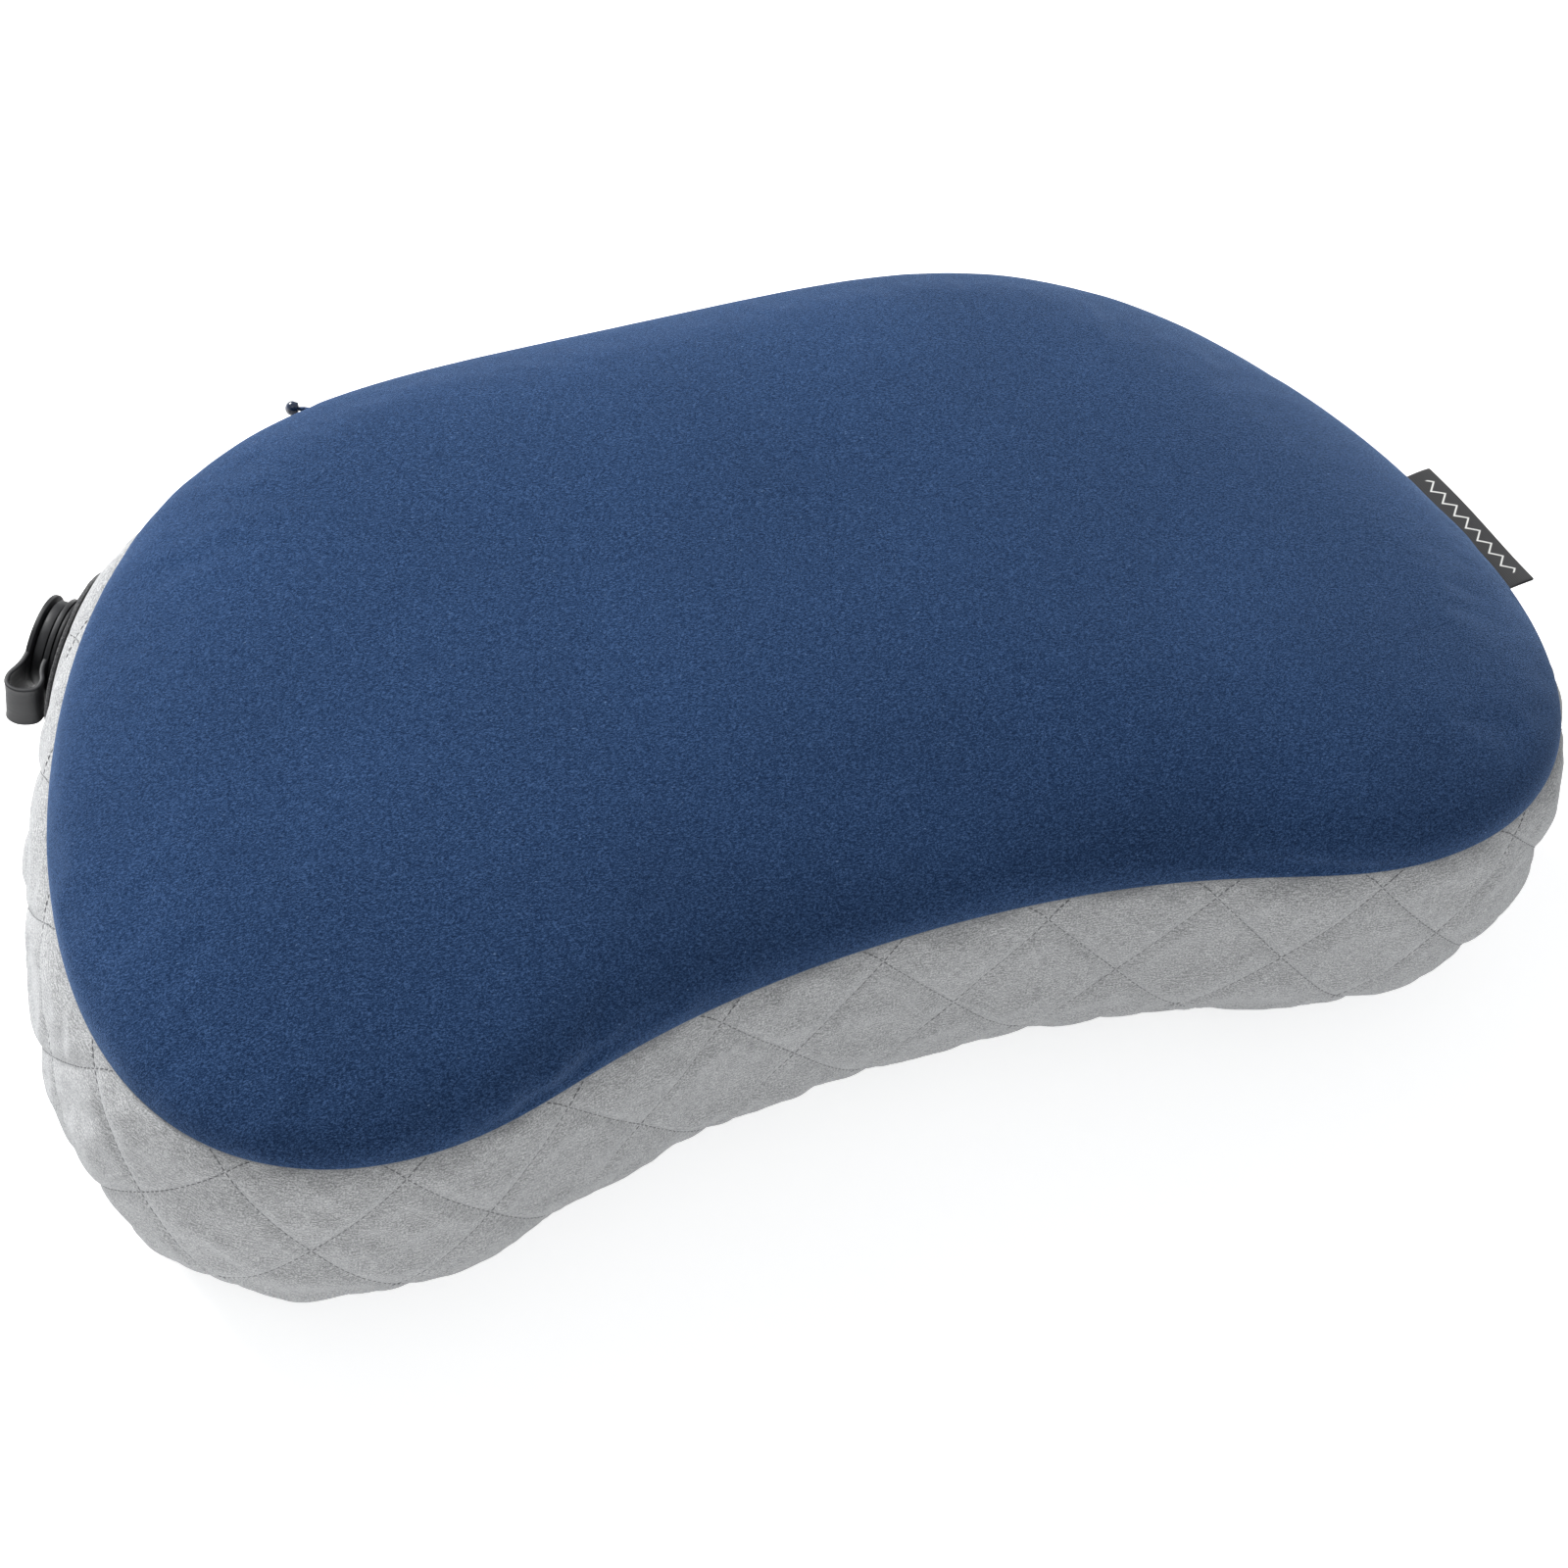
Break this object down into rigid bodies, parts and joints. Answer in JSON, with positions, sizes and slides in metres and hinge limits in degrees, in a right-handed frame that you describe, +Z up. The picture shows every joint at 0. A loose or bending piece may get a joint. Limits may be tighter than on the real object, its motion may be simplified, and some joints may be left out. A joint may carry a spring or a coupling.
{
  "type": "camp pillow",
  "caption": "Inflatable bean-shaped camp pillow: brushed blue top, quilted grey base, zipped cover, air bladder and a two-stage valve at one end.",
  "frame": {"origin": "on the flat underside, midway between the ends and midway between the lobes' front and the back", "axes": "+X along the pillow towards the end with the label, +Y towards the back edge with the zip, +Z up to the crown"},
  "size_m": [0.4358, 0.2498, 0.115],
  "materials": {
    "top_cloth": "brushed microfibre, deep blue, matt",
    "base_cloth": "brushed knit, light melange grey, matt",
    "wadding": "white polyester wadding",
    "lining_cloth": "thin plain lining, light grey",
    "seam_cloth": "folded cloth edges, deep blue",
    "label_cloth": "woven label, black",
    "facing_cloth": "felted patch, dark grey",
    "bladder_film": "polyurethane film, satin, pale grey",
    "valve_plastic": "soft moulded polyurethane, matt black-grey",
    "flap_silicone": "silicone, pale grey",
    "zip_tape": "woven zip tape, deep blue",
    "zip_coil": "polyester coil, deep blue",
    "zip_metal": "painted zinc, blue-black",
    "pull_plastic": "moulded pull, glossy blue-black"
  },
  "bodies": {
    "root": {"top_panel": "top_cloth", "quilt_face": "base_cloth", "quilt_wadding": "wadding", "quilt_lining": "lining_cloth", "perimeter_seam": "seam_cloth", "side_label": "label_cloth", "valve_facing": "facing_cloth", "bladder_bottom": "bladder_film", "bladder_top": "bladder_film", "valve_base": "valve_plastic", "plug_tether": "valve_plastic", "zip_tape_upper": "zip_tape", "zip_tape_lower": "zip_tape", "zip_coil_upper": "zip_coil", "zip_coil_lower": "zip_coil", "zip_stop_closed": "zip_coil", "zip_stop_open": "zip_coil"},
    "plug": {"valve_plug": "valve_plastic", "cap_tether": "valve_plastic"},
    "flap": {"valve_flap": "flap_silicone"},
    "cap": {"valve_cap": "valve_plastic"},
    "slider": {"zip_slider": "zip_metal"},
    "pull": {"zip_pull": "pull_plastic"}
  },
  "joints": [
    {"name": "plug_hinge", "type": "hinge", "parent": "root", "child": "plug", "pos_m": [-0.1805, 0.0662, 0.052], "axis": [0, 0, 1], "range_deg": [0, 80], "deforming": ["plug_tether"]},
    {"name": "cap_hinge", "type": "hinge", "parent": "plug", "child": "cap", "pos_m": [-0.18468, 0.06963, 0.052], "axis": [0, 0, 1], "range_deg": [0, 110], "deforming": ["cap_tether"]},
    {"name": "flap_lift", "type": "slide", "parent": "plug", "child": "flap", "axis": [0.7723, -0.6353, 0], "range_m": [0, 0.0012], "stiffness_N_per_m": 120},
    {"name": "zip_travel", "type": "slide", "parent": "root", "child": "slider", "axis": [1, 0, 0], "range_m": [0, 0.1678]},
    {"name": "pull_swing", "type": "hinge", "parent": "slider", "child": "pull", "pos_m": [-0.0839, 0.11457, 0.083], "axis": [0, 0, -1], "range_deg": [0, 134]}
  ]
}
